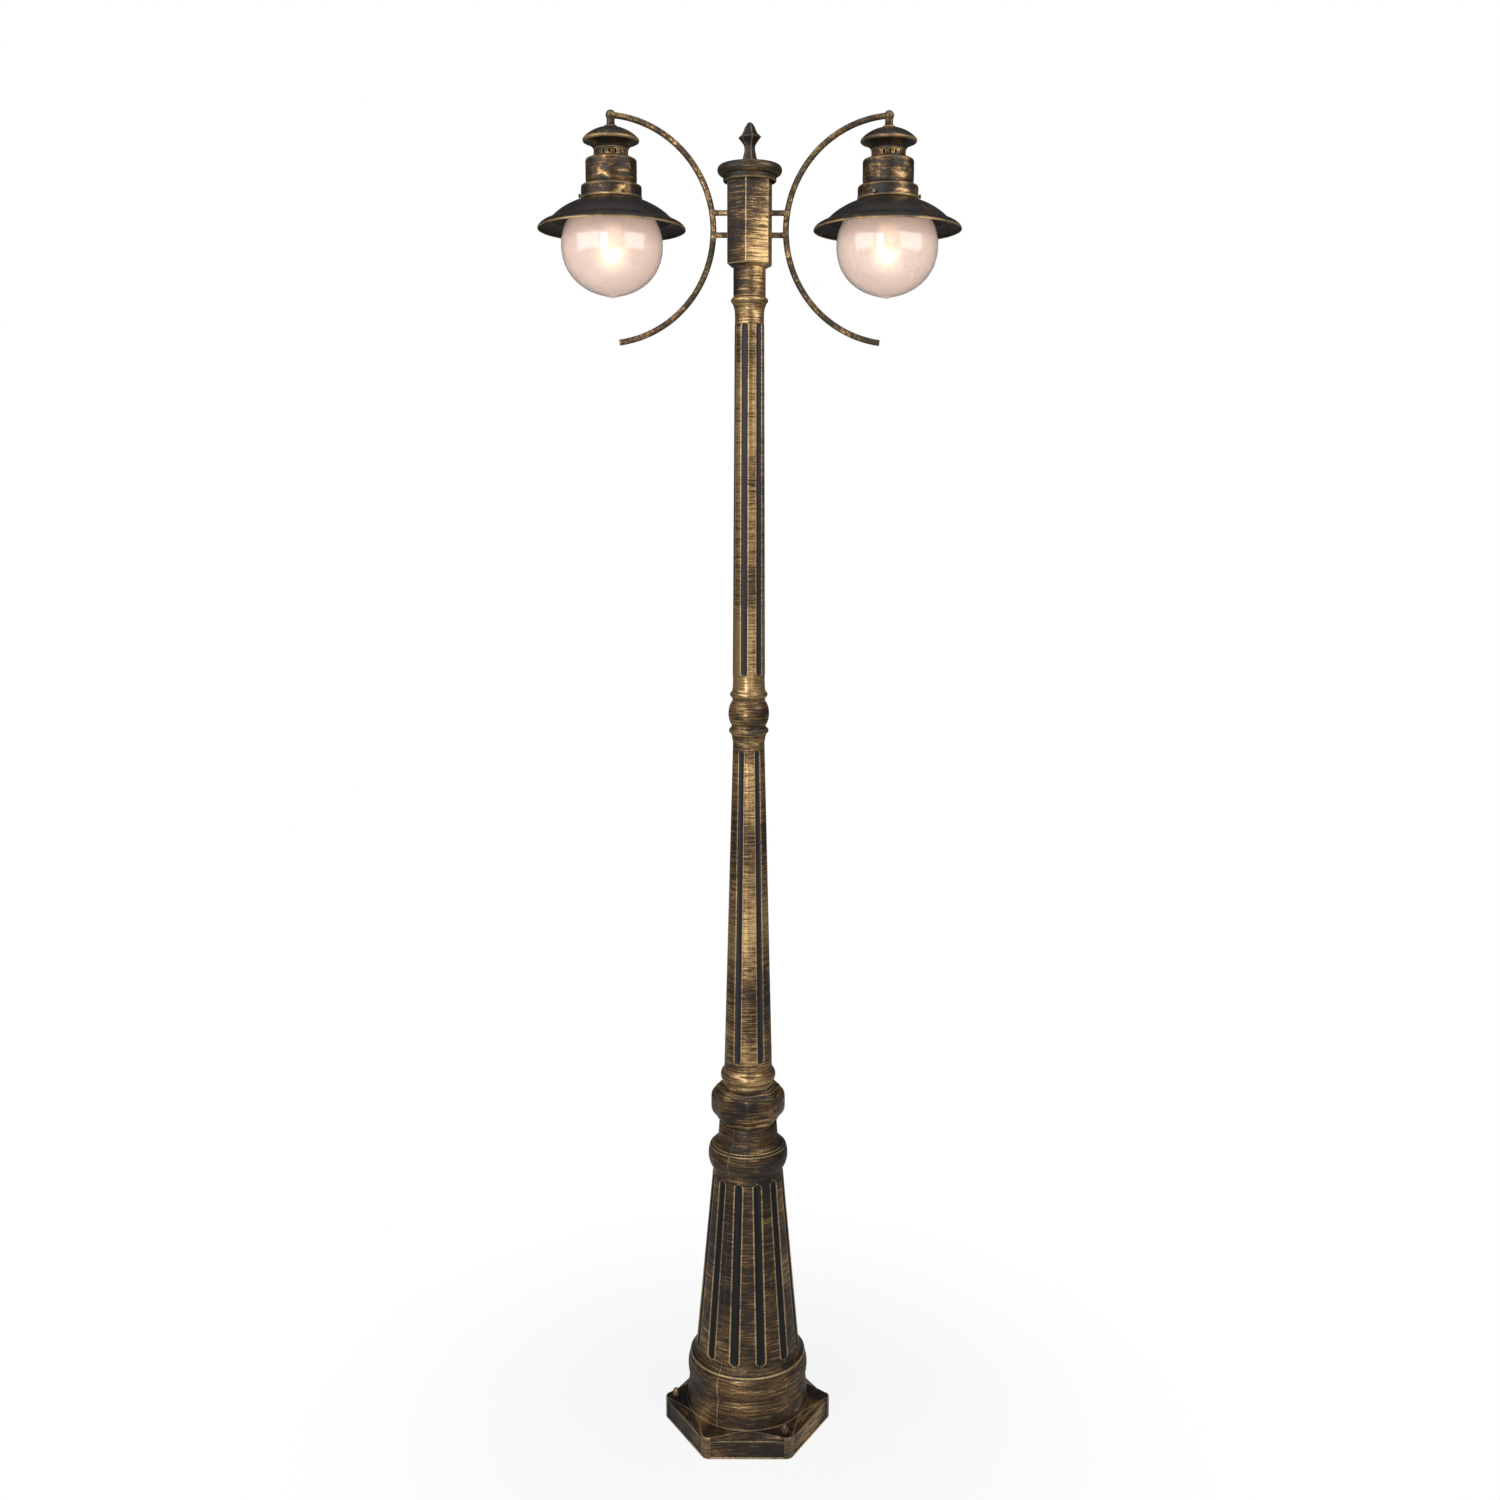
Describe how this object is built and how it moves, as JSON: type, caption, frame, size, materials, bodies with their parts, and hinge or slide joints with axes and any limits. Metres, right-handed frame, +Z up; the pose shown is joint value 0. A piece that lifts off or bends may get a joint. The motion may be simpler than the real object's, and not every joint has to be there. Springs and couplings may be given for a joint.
{
  "type": "two-lantern garden lamp post",
  "caption": "Fluted cast lamp post with a hexagonal foot, a turning head and bowed arms that carry hanging lanterns with onion-shaped globes.",
  "frame": {"origin": "centre of the foot's underside, on the ground", "axes": "+Z up the post; the arms reach along +X and -X; the front faces -Y; flat sides of the foot face -Y and +Y"},
  "size_m": [0.7008, 0.2676, 2.3232],
  "materials": {
    "bronzed_casting": "cast aluminium, black base coat dry-brushed with antique gold",
    "antique_bronze": "black base coat dry-brushed with antique gold",
    "dark_bronze": "dark brown-black paint with a thin gold edge",
    "tinted_globe": "glossy milky acrylic, warm tint",
    "bulb_glass": "frosted glass",
    "zinc_steel": "zinc plated",
    "brass": "aged brass",
    "white_ceramic": "glazed ceramic",
    "black_rubber": "matt",
    "pale_plastic": "moulded"
  },
  "bodies": {
    "post": {"base_casting": "bronzed_casting", "anchor_stud_left": "zinc_steel", "anchor_stud_front": "zinc_steel", "anchor_stud_rear": "zinc_steel", "anchor_cap_nut_left": "antique_bronze", "anchor_cap_nut_front": "antique_bronze", "anchor_cap_nut_rear": "antique_bronze", "base_collar": "bronzed_casting", "base_nipple": "zinc_steel", "lower_pole": "bronzed_casting", "mid_coupling": "bronzed_casting", "pole_nipple": "zinc_steel", "upper_pole": "bronzed_casting", "head_spigot": "bronzed_casting", "cable_grommet": "black_rubber"},
    "head": {"head_box": "bronzed_casting", "swivel_set_screw_1": "zinc_steel", "swivel_set_screw_2": "zinc_steel", "gear_plate": "zinc_steel", "terminal_block": "pale_plastic", "cap_bridge": "zinc_steel", "cap_gasket": "black_rubber", "arm_left": "antique_bronze", "arm_right": "antique_bronze", "arm_plug_left": "dark_bronze", "arm_plug_right": "dark_bronze", "upper_spacer_left": "antique_bronze", "lower_spacer_left": "antique_bronze", "upper_spacer_right": "antique_bronze", "lower_spacer_right": "antique_bronze", "stem_fitting_left": "bronzed_casting", "stem_fitting_right": "bronzed_casting", "hanger_nipple_left": "zinc_steel", "hanger_nipple_right": "zinc_steel", "hanger_locknut_left": "zinc_steel", "hanger_locknut_right": "zinc_steel", "hat_left": "dark_bronze", "hat_right": "dark_bronze", "lamp_body_left": "antique_bronze", "lamp_body_right": "antique_bronze", "shade_left": "dark_bronze", "shade_right": "dark_bronze", "globe_screw_left_1": "brass", "globe_screw_left_2": "brass", "globe_screw_left_3": "brass", "globe_screw_right_1": "brass", "globe_screw_right_2": "brass", "globe_screw_right_3": "brass", "lamp_holder_left": "white_ceramic", "lamp_holder_right": "white_ceramic"},
    "cap": {"cap": "bronzed_casting"},
    "finial": {"finial": "bronzed_casting", "finial_stud": "zinc_steel"},
    "globe_left": {"globe_left": "tinted_globe"},
    "globe_right": {"globe_right": "tinted_globe"},
    "bulb_left": {"bulb_cap_left": "brass", "bulb_glass_left": "bulb_glass"},
    "bulb_right": {"bulb_cap_right": "brass", "bulb_glass_right": "bulb_glass"}
  },
  "joints": [
    {"name": "head_swivel", "type": "hinge", "parent": "post", "child": "head", "pos_m": [0, 0, 2.027], "axis": [0, 0, 1], "range_deg": [-175, 175]},
    {"name": "cap_lift", "type": "slide", "parent": "head", "child": "cap", "axis": [0, 0, 1], "range_m": [0, 0.08]},
    {"name": "finial_turn", "type": "hinge", "parent": "cap", "child": "finial", "pos_m": [0, 0, 2.2428], "axis": [0, 0, 1], "range_deg": [0, 1800]},
    {"name": "globe_left_drop", "type": "slide", "parent": "head", "child": "globe_left", "axis": [0, 0, -1], "range_m": [0, 0.05]},
    {"name": "globe_right_drop", "type": "slide", "parent": "head", "child": "globe_right", "axis": [0, 0, -1], "range_m": [0, 0.05]},
    {"name": "bulb_left_turn", "type": "hinge", "parent": "head", "child": "bulb_left", "pos_m": [-0.228, 0, 2.107], "axis": [0, 0, 1], "range_deg": [-900, 0]},
    {"name": "bulb_right_turn", "type": "hinge", "parent": "head", "child": "bulb_right", "pos_m": [0.228, 0, 2.107], "axis": [0, 0, 1], "range_deg": [-900, 0]}
  ]
}
